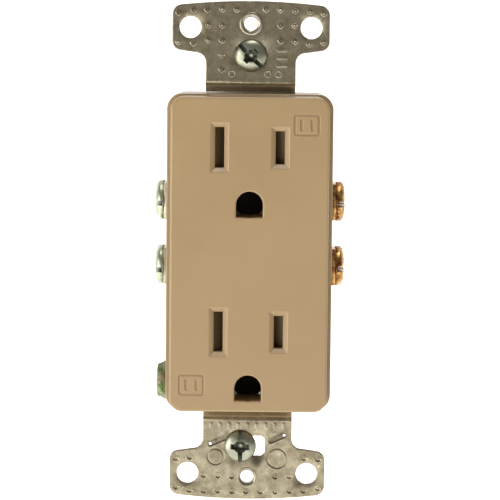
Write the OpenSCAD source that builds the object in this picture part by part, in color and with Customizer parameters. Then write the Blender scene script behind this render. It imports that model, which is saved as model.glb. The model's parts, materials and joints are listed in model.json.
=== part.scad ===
// Duplex wall outlet, decorator face, 15 A, tamper-resistant, with a self-grounding strap.
// Frame: +X to the right of the face, +Y into the wall, +Z up. The origin is the centre of the
// strap's back plane, which lies on the wall box. All sizes are in millimetres.

/* [Face] */
// Width of the raised face
face_w = 33.3; // [33:0.1:33.5]
// Height of the raised face
face_h = 66.5; // [66.4:0.1:67]
// Corner radius of the raised face
face_r = 2.8; // [2:0.1:3.2]
// How far the face stands in front of the strap's front side
face_out = 6.6; // [6:0.1:7]
// Thickness of the cover's front wall
face_t = 2.2; // [1.8:0.1:2.2]
// Width of the shoulder that the wall plate covers
shoulder_w = 35.2; // [35:0.1:36]
// Height of the shoulder
shoulder_h = 67.4; // [67.2:0.1:68]

/* [Outlets] */
// Distance between the two outlets
outlet_pitch = 38.9; // [38.8:0.1:39]
// Height of the midpoint between the two outlets' blade slots
outlet_mid = 3.2; // [3:0.1:3.4]
// Distance between the two blade slots of one outlet
blade_pitch = 12.7; // [12.6:0.1:12.8]
// Drop from the blade slots to the centre of the ground hole
ground_drop = 12; // [11.9:0.1:12.1]
// Height of a neutral slot
neutral_h = 8.5; // [8.3:0.1:8.6]
// Height of a hot slot
hot_h = 6.9; // [6.7:0.1:7]
// Width of a blade slot
slot_w = 1.9; // [1.8:0.1:2]
// Radius of the ground hole's arch
ground_r = 2.8; // [2.7:0.05:2.85]

/* [Strap] */
// Overall height of the strap
strap_h = 106.4; // [106:0.1:107]
// Width across the ears
ear_w = 33.2; // [33:0.1:34]
// Width of the strap's neck
neck_w = 19; // [18.6:0.1:19.2]
// Thickness of the steel
strap_t = 1.2; // [1.1:0.1:1.3]
// Distance between the wall plate's two screw holes
cover_pitch = 96.8; // [96.7:0.1:96.9]
// Distance between the two mounting screws
mount_pitch = 83.3; // [83.2:0.1:83.4]
// Distance between the ear holes across the strap
ear_pitch_x = 25.5; // [25.2:0.1:25.8]
// Distance between the ear holes along the strap
ear_pitch_z = 95.2; // [95:0.1:95.4]
// Radius of an ear hole
ear_hole_r = 2.3; // [2.2:0.05:2.4]

/* [Body] */
// Width of the back body
body_w = 34; // [33.6:0.1:34.4]
// Height of the back body
body_h = 67; // [66.6:0.1:67.4]
// Depth of the back body behind the strap's back plane
body_d = 24.5; // [23:0.1:25.5]

/* [Terminals] */
// Distance between the two terminal screws on one side
terminal_pitch = 14; // [13.6:0.1:14.2]
// Radius of a terminal screw's head
terminal_head_r = 4.3; // [4:0.1:4.4]
// Radius of a terminal screw's shank
terminal_shank_r = 2.05; // [2:0.01:2.08]

/* [Shutters] */
// How far a shutter slides to clear its slot
shutter_travel = 2.6; // [2.4:0.1:2.6]

/* [Hidden] */
$fn = 48;
big = 200;     // larger than any part, for cutting half spaces away
eps = 0.01;    // overlap that keeps cuts clean

// Levels along Y, from the face to the back
strap_front = -strap_t;
face_y = strap_front - face_out;
inner_y = face_y + face_t;           // back of the cover's front wall
shoulder_y = -2.2;                   // front of the shoulder
seat_y = 1.8;                        // front of the strap where it crosses the housing
part_y = seat_y + strap_t;           // parting plane between cover and back body
step_y = 15;                         // where the back body narrows
wall = 1.8;                          // cover side wall

// Heights of the outlets and their ground holes
upper_z = outlet_mid + outlet_pitch / 2;
lower_z = outlet_mid - outlet_pitch / 2;
upper_ground_z = upper_z - ground_drop;
lower_ground_z = lower_z - ground_drop;
blade_x = blade_pitch / 2;

// Housing screws go through the strap's neck
housing_x = 7.2;
housing_z = 31.3;
housing_seat_y = step_y;
housing_shank_r = 1.45;
boss_r = 2.35;
housing_tip_y = -3.6;

// Terminals
terminal_y = 8.5;
upper_terminal_z = outlet_mid + 0.15 + terminal_pitch / 2;
lower_terminal_z = outlet_mid + 0.15 - terminal_pitch / 2;
plate_x = 14.2;                      // inner side of the brass terminal plate
plate_t = 1;
clamp_x = 17.1;                      // inner side of the clamp plate, backed out for a wire
clamp_t = 1.2;
clamp_side = 7.8;
head_x = clamp_x + clamp_t;          // underside of a terminal screw's head
hot_out = 0.3;                       // the hot screws are backed out a little further
terminal_len = 7.9;
pocket_front = 3.6;
pocket_back = 13.4;
pocket_half = terminal_pitch / 2 + 5.7;
fin_gap = 4.4;                       // gap between the two halves of a bus, bridged by the fin

// Ground terminal
ground_screw_z = -29;
tab_x = 13.5;                        // inner side of the strap's ground tab
tab_half = 3.4;
tab_cover_z = -30.7;                 // the tab stays above this inside the cover
tab_root_x = 8.5;                    // where the tab leaves the neck
tab_back = 13;
pin_hole_r = 3.4;                    // clears the plug's ground pin
rivet_r = 1.1;
rivet_up = 5.7;                      // height of a contact's rivet above the ground hole
ground_head_x = 17.8;
ground_washer_r = 4.2;
hex_r = 3.95;

// Blade contacts
contact_h = 6.4;
contact_back = 16.5;
leaf_t = 0.6;
leaf_root = 1.3;                     // from the blade's centre to a leaf's inner side at its root
leaf_pinch = 0.62;                   // the same where the leaves grip
leaf_mouth = 1.7;                    // the same at the flared mouth

// Shutters, in the frame of one outlet
frame_w = 29.2;
frame_h = 12.5;
frame_wall = 0.8;
frame_front = inner_y + 0.1;
frame_floor = -1.2;
layer_t = 1.95;
front_layer = inner_y + 0.25;
rear_layer = front_layer + layer_t + 0.1;
shutter_half = 5.35;
rail_w = 1.15;
ramp_in = blade_x - 1.15;            // inner end of the ramp block
ramp_out = ramp_in + 3.6;
block_in = blade_x - 1.25;           // inner end of the blocking wall
block_out = block_in + 2.5;
block_end = block_out + shutter_travel;
shutter_end = block_end + 1.2;
spring_r = 0.85;
spring_hole_r = 0.55;

// Mounting screws
mount_z = mount_pitch / 2;
lower_screw_x = -1.5;                // the lower screw sits to one side of its slot
upper_slot_half = 3.2;
lower_slot_half = 3.75;
slot_h = 4.4;
mount_head_r = 3.4;
mount_head_y = strap_front - 0.05;
mount_thread_y = 3.6;
mount_tip_y = 17;
mount_r = 1.75;
mount_neck_r = 1.45;

TAN = [0.72, 0.61, 0.45];
DARK = [0.16, 0.13, 0.11];
STEEL = [0.6, 0.58, 0.52];
BRASS = [0.78, 0.6, 0.3];
NICKEL = [0.75, 0.74, 0.69];
GREEN = [0.25, 0.42, 0.2];
BRONZE = [0.66, 0.45, 0.27];
FIBRE = [0.3, 0.24, 0.18];
SHUTTER = [0.35, 0.3, 0.2];

// ---- helpers ----

// A shape in X and Z, extruded from y0 to y1
module along_y(y0, y1) translate([0, y1, 0]) rotate([90, 0, 0]) linear_extrude(y1 - y0) children();

// A shape in Y and Z, extruded from x0 to x1
module along_x(x0, x1) translate([x0, 0, 0]) rotate([90, 0, 90]) linear_extrude(x1 - x0) children();

// A shape in X and Y, extruded from z0 to z1
module along_z(z0, z1) translate([0, 0, z0]) linear_extrude(z1 - z0) children();

module block(x, y, z) translate([x[0], y[0], z[0]]) cube([x[1] - x[0], y[1] - y[0], z[1] - z[0]]);

module rounded(w, h, r) {
    square([w - 2 * r, h], center = true);
    square([w, h - 2 * r], center = true);
    for (i = [-1, 1], j = [-1, 1])
        translate([i * (w / 2 - r), j * (h / 2 - r)]) circle(r);
}

module rod_y(x, z, r, y0, y1) translate([x, y0, z]) rotate([-90, 0, 0]) cylinder(h = y1 - y0, r = r);

module rod_x(y, z, r, x0, x1) translate([x0, y, z]) rotate([0, 90, 0]) cylinder(h = x1 - x0, r = r);

// Left and right halves that mirror each other
module left() mirror([1, 0, 0]) children();

module four_ways() for (i = [-1, 1], j = [-1, 1]) scale([i, 1, j]) children();

// The same piece seen from the other side of the outlet: half a turn about the plug's axis
module half_turn() rotate([0, 180, 0]) children();

// ---- front cover ----

// A blade slot with a bevelled lead-in, as a cutter; z is the slot's centre
module blade_slot(x, z, h) {
    bevel = 0.95;
    depth = 0.8;
    block([x - slot_w / 2, x + slot_w / 2], [face_y - 1, inner_y + 1], [z - h / 2, z + h / 2]);
    intersection() {
        along_z(z - h, z + h)
            polygon([[x - slot_w / 2 - bevel, face_y - eps], [x + slot_w / 2 + bevel, face_y - eps],
                     [x + slot_w / 2, face_y + depth], [x - slot_w / 2, face_y + depth]]);
        along_x(x - slot_w * 2, x + slot_w * 2)
            polygon([[face_y - eps, z - h / 2 - bevel], [face_y - eps, z + h / 2 + bevel],
                     [face_y + depth, z + h / 2], [face_y + depth, z - h / 2]]);
    }
}

// The arched ground hole's outline, grown by a margin
module ground_outline(z, grow = 0) translate([0, z]) {
    circle(ground_r + grow);
    translate([-ground_r - grow, -ground_r + 0.15 - grow])
        square([2 * (ground_r + grow), ground_r - 0.15 + grow]);
}

// A plain engraved mark in a corner of the face: a slotted frame, in place of lettering
module corner_mark() {
    mark_w = 5.3;
    mark_h = 4.4;
    line = 0.28;
    translate([11.9, 27.5]) {
        difference() {
            rounded(mark_w, mark_h, 0.6);
            rounded(mark_w - 2 * line, mark_h - 2 * line, 0.32);
        }
        for (x = [-1.1, 1.1]) translate([x, 0]) square([0.4, 2.2], center = true);
    }
}

module outlet_cuts(z) {
    blade_slot(blade_x, z, hot_h);
    blade_slot(-blade_x, z, neutral_h);
    along_y(face_y - 1, part_y + 1) ground_outline(z - ground_drop);
}

module front_cover() color(TAN) {
    cavity_w = face_w - 2 * wall;
    cavity_h = face_h - 2 * wall;
    mark_depth = 0.18;
    difference() {
        union() {
            difference() {
                union() {
                    along_y(face_y, shoulder_y + 1) rounded(face_w, face_h, face_r);
                    along_y(shoulder_y, part_y) rounded(shoulder_w, shoulder_h, face_r + 0.5);
                }
                along_y(inner_y, part_y + 1) rounded(cavity_w, cavity_h, face_r - wall);
            }
            for (i = [-1, 1], j = [-1, 1])
                rod_y(i * housing_x, j * housing_z, boss_r, inner_y - eps, seat_y);
            for (z = [upper_z, lower_z])
                along_y(inner_y - eps, seat_y - 0.2) ground_outline(z - ground_drop, 0.9);
        }
        for (z = [upper_z, lower_z]) outlet_cuts(z);
        for (i = [-1, 1], j = [-1, 1])
            rod_y(i * housing_x, j * housing_z, housing_shank_r + 0.03, housing_tip_y - 0.4, part_y + 1);
        for (j = [-1, 1])
            scale([1, 1, j]) block([-neck_w / 2 - 0.1, neck_w / 2 + 0.1], [seat_y, part_y + 1], [30, 36]);
        along_y(face_y - 1, face_y + mark_depth) {
            corner_mark();
            rotate(180) corner_mark();
        }
    }
}

// ---- back body ----

// Room for one outlet's two blade contacts and the buses that carry them
module contact_room(z) {
    half = contact_h / 2 + 0.4;
    for (i = [-1, 1]) scale([i, 1, 1])
        block([3.6, plate_x + plate_t + 0.1], [part_y - 1, contact_back + 0.3], [z - half, z + half]);
}

// Room for a ground contact, its rivet above it
module ground_room(z) block([-4.6, 4.6], [part_y - 1, 13.5], [z - 4.4, z + 7.8]);

// The open pocket on the right side that holds two terminals, with their wire channels
module terminal_pocket() {
    block([plate_x - 0.1, big], [pocket_front, pocket_back],
          [outlet_mid - pocket_half, outlet_mid + pocket_half]);
    block([plate_x - 0.1, plate_x + plate_t + 0.1], [part_y - 1, contact_back + 0.3],
          [lower_z - 2, upper_z + 2]);
    for (z = [upper_terminal_z, lower_terminal_z]) {
        rod_x(terminal_y, z, terminal_shank_r + 0.35, 7.9, plate_x);
        for (j = [-1, 1])
            rod_y(body_w / 2 - 0.4, z + j * 3.3, 1.3, pocket_back - 1, big);
    }
}

// The corner cut away for the ground screw, with the way in for its wire
module ground_pocket() {
    block([-big, -tab_x + 0.1], [part_y - 1, pocket_back], [-big, ground_screw_z + 4.6]);
    rod_x(terminal_y, ground_screw_z, terminal_shank_r + 0.35, -tab_x, -8.9);
    rod_y(-body_w / 2 + 0.4, ground_screw_z + 2.2, 1.3, pocket_back - 1, big);
}

// The moulded stripping gauge: a groove as long as a wire is bared, with a stop at its end
module strip_gauge() {
    gauge_len = 16;
    translate([0, outlet_mid]) {
        square([1.8, gauge_len], center = true);
        translate([0, -gauge_len / 2]) square([5, 1], center = true);
    }
}

module back_body() color(DARK) difference() {
    union() {
        along_y(part_y, step_y) rounded(body_w, body_h, 3);
        along_y(step_y - 1, body_d) rounded(body_w - 1, body_h - 5, 3);
    }
    for (z = [upper_z, lower_z]) {
        contact_room(z);
        ground_room(z - ground_drop);
    }
    terminal_pocket();
    left() terminal_pocket();
    ground_pocket();
    for (i = [-1, 1], j = [-1, 1]) {
        rod_y(i * housing_x, j * housing_z, housing_shank_r + 0.15, 0, big);
        rod_y(i * housing_x, j * housing_z, 2.9, housing_seat_y, big);
    }
    along_y(body_d - 0.5, body_d + 1) strip_gauge();
    for (z = [-23, 28]) along_y(body_d - 0.4, body_d + 1) translate([0, z]) rounded(20, 3.2, 1);
}

// ---- strap ----

ear_bottom_z = 42.3;                 // inner edge of an ear, at the neck
ear_rise = 0.7;                      // how much further out that edge is at the ear's tip
bend_z = 35.4;
bend_end_z = 34;
plate_end_z = 33.4;                  // end of the flat part inside the housing
neck_fillet = 2.1;
ear_in = neck_w / 2 + neck_fillet;
ear_low_r = 1.9;
ear_top_r = 2.2;
crown_r = 132;                       // the strap's ends are slightly arched
crown_z = strap_h / 2 - crown_r;
collar_r = 2.45;
cover_hole_r = 1.45;
groove_w = 1.2;

// The right half of one ear: straight sides joined by arcs that touch the sides and the crowned end
module ear_half() {
    slope = atan(ear_rise / (ear_w / 2 - ear_in));
    low = [ear_w / 2 - ear_low_r,
           ear_bottom_z + (ear_w / 2 - ear_low_r - ear_in) * tan(slope) + ear_low_r / cos(slope)];
    top = [ear_w / 2 - ear_top_r,
           crown_z + sqrt((crown_r - ear_top_r) ^ 2 - (ear_w / 2 - ear_top_r) ^ 2)];
    intersection() {
        translate([0, crown_z]) circle(crown_r, $fn = 360);
        polygon([[0, ear_bottom_z - 1], [neck_w / 2, ear_bottom_z - 1], [neck_w / 2, ear_bottom_z],
                 [ear_in, ear_bottom_z], low + ear_low_r * [sin(slope), -cos(slope)], low,
                 [ear_w / 2, low[1]], [ear_w / 2, top[1]], top, [top[0], strap_h], [0, strap_h]]);
    }
    translate(low) circle(ear_low_r);
    translate(top) circle(ear_top_r);
}

// Outline of one end of the strap, outside the housing
module ear_outline() {
    for (i = [-1, 1]) scale([i, 1]) {
        ear_half();
        translate([0, bend_z]) square([neck_w / 2, ear_bottom_z - bend_z]);
        translate([neck_w / 2, ear_bottom_z]) difference() {
            translate([-0.5, -neck_fillet]) square([neck_fillet + 0.5, neck_fillet]);
            translate([neck_fillet, -neck_fillet]) circle(neck_fillet);
        }
    }
}

// The opening that lets a mounting screw shift sideways, with its corners cut off
module mount_slot(half_w) {
    cut = 0.7;
    half_h = slot_h / 2;
    for (turn = [0, 180]) rotate(turn)
        polygon([[-half_w, -eps], [-half_w, -half_h + cut], [-half_w + cut, -half_h],
                 [half_w - cut, -half_h], [half_w, -half_h + cut], [half_w, eps]]);
}

// One end of the strap: the ears, and the step back into the housing; half_slot is half its slot's width
module strap_end(half_slot) {
    collar_out = 0.3;
    collar_back = 1.2;
    countersink = 0.55;
    step = strap_t * 0.64;           // offset between the two bends that keeps the sheet's thickness
    difference() {
        union() {
            along_y(strap_front, 0) ear_outline();
            rod_y(0, cover_pitch / 2, collar_r, strap_front - collar_out, collar_back);
        }
        rod_y(0, cover_pitch / 2, cover_hole_r, -5, 5);
        translate([0, strap_front - collar_out - eps, cover_pitch / 2]) rotate([-90, 0, 0])
            cylinder(h = 0.5, r1 = cover_hole_r + countersink, r2 = cover_hole_r);
        for (i = [-1, 1]) rod_y(i * ear_pitch_x / 2, ear_pitch_z / 2, ear_hole_r, -5, 5);
        along_y(-5, 5) translate([0, mount_z]) mount_slot(half_slot);
    }
    // the step back into the housing
    along_x(-neck_w / 2, neck_w / 2)
        polygon([[strap_front, bend_z + 0.8], [strap_front, bend_z], [seat_y, bend_end_z],
                 [seat_y, plate_end_z - 0.4], [part_y, plate_end_z - 0.4], [part_y, bend_end_z + step],
                 [0, bend_z + step], [0, bend_z + 0.8]]);
}

// A slanting groove with a small hole at its outer end, beside the lower mounting screw
module slant_groove() {
    length = 3.6;
    depth = 0.55;
    translate([8.1, 0, -40.4]) rotate([0, -23, 0]) {
        block([-length, 0], [strap_front - 1, strap_front + depth], [-groove_w / 2, groove_w / 2]);
        for (x = [-length, 0]) rod_y(x, 0, groove_w / 2, strap_front - 1, strap_front + depth);
        rod_y(0, 0, 0.35, strap_front - 1, 1);
    }
}

// The threaded tab for the green screw, folded back from the strap's lower end
module ground_tab() difference() {
    top = ground_screw_z + tab_half;
    union() {
        block([-tab_x - strap_t, -tab_root_x], [seat_y, part_y], [tab_cover_z, top]);
        block([-tab_x - strap_t, -tab_x], [seat_y, tab_back], [tab_cover_z, top]);
        block([-tab_x - strap_t, -tab_x], [part_y + 0.3, tab_back], [ground_screw_z - tab_half, top]);
    }
    rod_x(terminal_y, ground_screw_z, terminal_shank_r + 0.05, -big, 0);
}

module mounting_strap() color(STEEL) difference() {
    union() {
        strap_end(upper_slot_half);
        mirror([0, 0, 1]) strap_end(lower_slot_half);
        along_y(seat_y, part_y) {
            translate([-neck_w / 2, 28.4]) square([neck_w, plate_end_z - 28.4]);
            translate([-neck_w / 2, -plate_end_z]) square([neck_w, 12]);
            square([6.8, 2 * plate_end_z - 1], center = true);
            translate([-5.4, upper_ground_z - 4.6]) square([10.8, 12.4]);
        }
        ground_tab();
    }
    for (z = [upper_ground_z, lower_ground_z]) {
        rod_y(0, z, pin_hole_r, 0, 5);
        rod_y(0, z + rivet_up, rivet_r + 0.03, 0, 5);
    }
    for (i = [-1, 1], j = [-1, 1])
        rod_y(i * housing_x, j * housing_z, housing_shank_r + 0.15, 0, 5);
    slant_groove();
    translate([0, 0, -80.8]) half_turn() slant_groove();
}

// ---- contacts ----

// One leaf of a blade contact, as an outline in X and Y about the blade's centre
module leaf_outline() polygon([
    [leaf_root, contact_back], [leaf_root, 12], [leaf_pinch, 7.4], [leaf_mouth, 4],
    [leaf_mouth + leaf_t, 4.3], [leaf_pinch + leaf_t, 7.4], [leaf_root + leaf_t, 12],
    [leaf_root + leaf_t, contact_back]]);

// Both leaves for one blade on the right side, and the floor strip that joins them to the side plate
module blade_contact(z) {
    along_z(z - contact_h / 2, z + contact_h / 2) {
        translate([blade_x, 0]) leaf_outline();
        translate([blade_x, 0]) mirror([1, 0]) leaf_outline();
        translate([blade_x - leaf_root - leaf_t, contact_back - 1]) square([plate_x - blade_x + 2.2, 1]);
    }
}

// Half of a bus: the side plate with its threaded hole, and one outlet's contact
module bus_half(terminal_z, contact_z) {
    near = outlet_mid + sign(contact_z - outlet_mid) * fin_gap / 2;
    far = contact_z + sign(contact_z - outlet_mid) * contact_h / 2;
    low = min(near, far);
    high = max(near, far);
    plate = [plate_x, plate_x + plate_t];
    difference() {
        union() {
            block(plate, [13.6, contact_back], [low, high]);
            block(plate, [4.6, contact_back], [terminal_z - 4.7, terminal_z + 4.7]);
        }
        rod_x(terminal_y, terminal_z, terminal_shank_r + 0.05, plate_x - 1, plate_x + plate_t + 1);
    }
    blade_contact(contact_z);
}

module bus() {
    bus_half(upper_terminal_z, upper_z);
    bus_half(lower_terminal_z, lower_z);
    // the fin that is broken off to feed the two outlets from separate circuits
    reach = fin_gap / 2 + 0.2;
    block([plate_x, plate_x + plate_t], [7.2, 9.8], [outlet_mid - reach, outlet_mid + reach]);
    block([plate_x, plate_x + 2.6], [7, 10], [outlet_mid - 1.2, outlet_mid + 1.2]);
}

// A ground contact: a plate behind the strap with two spring leaves that grip the round pin
module ground_contact(z) color(BRONZE) {
    plate = 0.6;
    difference() {
        block([-4.4, 4.4], [part_y, part_y + plate], [z - 4.2, z + 7.6]);
        rod_y(0, z, pin_hole_r, 0, 5);
        rod_y(0, z + rivet_up, rivet_r + 0.03, 0, 5);
    }
    for (i = [-1, 1]) scale([i, 1, 1]) along_z(z - 2.5, z + 2.5)
        polygon([[3.4, part_y + 0.1], [3.9, part_y + 0.1], [3.7, 6], [2.6, 9.4], [3.3, 12.2],
                 [2.8, 12.4], [2.1, 9.4], [3.2, 6]]);
}

module ground_contact_rivets() color(NICKEL)
    for (z = [upper_ground_z + rivet_up, lower_ground_z + rivet_up]) {
        head_r = 1.8;
        head_t = 0.6;
        rod_y(0, z, rivet_r, seat_y - head_t / 2, part_y + 2 * head_t);
        translate([0, seat_y, z]) rotate([90, 0, 0]) cylinder(h = head_t, r1 = head_r, r2 = 1.2);
        rod_y(0, z, head_r, part_y + head_t, part_y + 2 * head_t);
    }

// ---- shutters ----

module shutter_frame(z) color(TAN) translate([0, 0, z]) {
    half_w = frame_w / 2;
    half_h = frame_h / 2;
    difference() {
        block([-half_w, half_w], [frame_front, frame_floor + 1], [-half_h, half_h]);
        block([-half_w + frame_wall, half_w - frame_wall], [frame_front - 1, frame_floor],
              [-half_h + frame_wall, half_h - frame_wall]);
        for (i = [-1, 1])
            block([i * blade_x - 1.5, i * blade_x + 1.5], [-5, 5], [-4.6, 4.6]);
    }
    // feet that stand on the back body
    for (i = [-1, 1], j = [-1, 1])
        translate([i * (half_w - 1.2), 0, j * (half_h - 1.2)])
            block([-1.1, 1.1], [frame_floor + 1 - eps, part_y - 0.05], [-1.1, 1.1]);
}

// One shutter. Its ramp covers the right-hand slot in the front layer, and its blocking wall
// covers the left-hand slot in the rear layer. It slides to the right when a blade pushes the ramp.
module shutter() color(SHUTTER) {
    low = -shutter_half + rail_w + 0.1;
    front = [front_layer, front_layer + layer_t];
    rear = [rear_layer, rear_layer + layer_t];
    along_z(low, shutter_half)
        polygon([[ramp_in, front[1]], [ramp_in, front[0] + 1.5], [ramp_in + 2.6, front[0]],
                 [ramp_out, front[0]], [ramp_out, front[1]]]);
    block([-shutter_end, ramp_out], [front[0], rear[1]], [shutter_half - rail_w, shutter_half]);
    block([-block_out, -block_in], rear, [low, shutter_half]);
    block([-shutter_end, -block_end], rear, [low, shutter_half]);
    rod_x(front_layer + layer_t / 2, 0, spring_hole_r - 0.1, ramp_out - eps, ramp_out + 1.4);
}

module shutter_spring() color(NICKEL) difference() {
    rod_x(front_layer + layer_t / 2, 0, spring_r, ramp_out + 0.02, frame_w / 2 - frame_wall - 0.02);
    rod_x(front_layer + layer_t / 2, 0, spring_hole_r, 0, frame_w);
}

// ---- terminal screws and clamps, on the right side ----

module backed_out() translate([hot_out, 0, 0]) children();

// A terminal screw with a slot and a shorter cross; tilt is how far its slot is turned from level
module terminal_screw(z, tilt) {
    head_t = 2;
    slot_w = 1.2;
    difference() {
        translate([head_x, terminal_y, z]) rotate([0, 90, 0]) rotate_extrude()
            polygon([[0, -terminal_len], [terminal_shank_r - 0.5, -terminal_len],
                     [terminal_shank_r, -terminal_len + 0.6], [terminal_shank_r, 0],
                     [terminal_head_r - 0.1, 0], [terminal_head_r, 0.2], [terminal_head_r, 0.8],
                     [terminal_head_r - 0.7, 1.5], [terminal_head_r - 1.9, head_t - 0.1],
                     [terminal_head_r - 2.9, head_t], [0, head_t]]);
        translate([0, terminal_y, z]) rotate([tilt, 0, 0]) {
            block([head_x + 0.9, head_x + 3], [-5, 5], [-slot_w / 2, slot_w / 2]);
            block([head_x + 0.5, head_x + 3], [-slot_w / 2, slot_w / 2], [-1.9, 1.9]);
        }
    }
}

module clamp(z) difference() {
    half = clamp_side / 2;
    block([clamp_x, clamp_x + clamp_t], [terminal_y - half, terminal_y + half], [z - half, z + half]);
    rod_x(terminal_y, z, terminal_shank_r + 0.1, clamp_x - 1, clamp_x + 5);
    // shallow grooves that seat the wires on each side of the screw
    for (j = [-1, 1])
        rod_y(clamp_x - 0.5, z + j * 3.1, 0.9, 0, 20);
}

// The green screw: a six-sided slotted head on a washer, square to the tab
module ground_screw() color(GREEN) {
    head_t = 2;
    shank_len = 5.6;
    difference() {
        translate([-ground_head_x, terminal_y, ground_screw_z]) rotate([0, -90, 0]) {
            cylinder(h = 0.6, r = ground_washer_r);
            intersection() {
                cylinder(h = head_t, r = hex_r, $fn = 6);
                rotate_extrude()
                    polygon([[0, 0], [hex_r, 0], [hex_r, 1.3], [hex_r - 1, head_t], [0, head_t]]);
            }
            translate([0, 0, -shank_len]) cylinder(h = shank_len + 0.1, r = terminal_shank_r);
        }
        block([-ground_head_x - 5, -ground_head_x - 1.1], [terminal_y - 0.6, terminal_y + 0.6],
              [ground_screw_z - 5, ground_screw_z + 5]);
    }
}

// ---- mounting screws and what keeps them in the strap ----

// A captive screw for the wall box: a domed head with a slot and a cross, a plain neck, then the thread
module mounting_screw(x, z, turn) color(NICKEL)
    translate([x, mount_head_y, z]) rotate([0, turn, 0]) difference() {
        tip = mount_tip_y - mount_head_y;
        neck_end = mount_thread_y - mount_head_y;
        dome = 1.6;
        rim = 0.4;
        cross = 1.5;
        rotate([-90, 0, 0]) rotate_extrude()
            polygon([[0, -dome], [1, -dome], [2, -dome + 0.3], [2.9, -2 * rim], [mount_head_r, -rim],
                     [mount_head_r, 0], [mount_neck_r, 0], [mount_neck_r, neck_end - 0.3],
                     [mount_r, neck_end], [mount_r, tip], [mount_r - 0.5, tip + 0.5], [0, tip + 0.5]]);
        block([-5, 5], [-5, -0.85], [-0.45, 0.45]);
        block([-0.55, 0.55], [-5, -0.45], [-cross, cross]);
        block([-cross, cross], [-5, -0.45], [-0.55, 0.55]);
    }

// The square washer behind the upper slot that keeps its screw from falling out
module upper_screw_washer() color(FIBRE) difference() {
    along_y(0.15, 1.05) translate([0, mount_z]) rounded(10, 8, 0.6);
    rod_y(0, mount_z, mount_r + 0.04, -1, 5);
}

// A split ring behind the strap with two leaves that press on the box, so the strap is grounded there
module lower_ground_clip() color(BRONZE) translate([lower_screw_x, 0, -mount_z]) {
    ring_r = 3.1;
    difference() {
        rod_y(0, 0, ring_r, 0.1, 1.3);
        rod_y(0, 0, mount_r + 0.04, -1, 5);
        block([-5, 0], [-1, 5], [-0.45, 0.45]);
    }
    for (j = [-1, 1])
        scale([1, 1, j]) block([-1.6, 1.6], [1.2, 3.4], [2.25, 2.75]);
}

module housing_screws() color(NICKEL) for (i = [-1, 1], j = [-1, 1])
    translate([i * housing_x, housing_seat_y, j * housing_z]) difference() {
        tip = housing_tip_y - housing_seat_y;
        cross_w = 0.35;
        cross_h = 1.3;
        rotate([-90, 0, 0]) rotate_extrude()
            polygon([[0, tip], [housing_shank_r - 0.8, tip], [housing_shank_r, tip + 1.4],
                     [housing_shank_r, 0.02], [2.3, 0.02], [2.4, 0.3], [2.2, 1.1], [1.4, 1.6], [0, 1.7]]);
        block([-cross_h, cross_h], [0.7, 3], [-cross_w, cross_w]);
        block([-cross_w, cross_w], [0.7, 3], [-cross_h, cross_h]);
    }

// ---- the assembly ----

front_cover();
back_body();
mounting_strap();
color(BRASS) left() bus();  // neutral_bus
color(BRASS) bus();  // hot_bus
ground_contact(upper_ground_z);  // upper_ground_contact
ground_contact(lower_ground_z);  // lower_ground_contact
ground_contact_rivets();
shutter_frame(upper_z);  // upper_shutter_frame
shutter_frame(lower_z);  // lower_shutter_frame
translate([0, 0, upper_z]) shutter();  // upper_hot_shutter
translate([0, 0, upper_z]) half_turn() shutter();  // upper_neutral_shutter
translate([0, 0, lower_z]) shutter();  // lower_hot_shutter
translate([0, 0, lower_z]) half_turn() shutter();  // lower_neutral_shutter
translate([0, 0, upper_z]) shutter_spring();  // upper_hot_shutter_spring
translate([0, 0, upper_z]) half_turn() shutter_spring();  // upper_neutral_shutter_spring
translate([0, 0, lower_z]) shutter_spring();  // lower_hot_shutter_spring
translate([0, 0, lower_z]) half_turn() shutter_spring();  // lower_neutral_shutter_spring
color(NICKEL) left() terminal_screw(upper_terminal_z, 6);  // upper_neutral_screw
color(NICKEL) left() terminal_screw(lower_terminal_z, 12);  // lower_neutral_screw
color(BRASS) backed_out() terminal_screw(upper_terminal_z, 7);  // upper_hot_screw
color(BRASS) backed_out() terminal_screw(lower_terminal_z, 5);  // lower_hot_screw
color(NICKEL) left() clamp(upper_terminal_z);  // upper_neutral_clamp
color(NICKEL) left() clamp(lower_terminal_z);  // lower_neutral_clamp
color(BRASS) backed_out() clamp(upper_terminal_z);  // upper_hot_clamp
color(BRASS) backed_out() clamp(lower_terminal_z);  // lower_hot_clamp
ground_screw();
mounting_screw(0, mount_z, 45);  // upper_mounting_screw
mounting_screw(lower_screw_x, -mount_z, 90);  // lower_mounting_screw
upper_screw_washer();
lower_ground_clip();
housing_screws();
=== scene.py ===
"""The looks of a duplex wall outlet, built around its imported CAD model.

The shapes' numbers are in millimetres and become metres where a mesh is made. The camera, the lights and
the floor are given in metres.
"""

import json
import math
import random
from contextlib import contextmanager

import bmesh
import bpy
import numpy as np
from mathutils import Matrix, Vector
from mathutils.geometry import delaunay_2d_cdt

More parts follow.
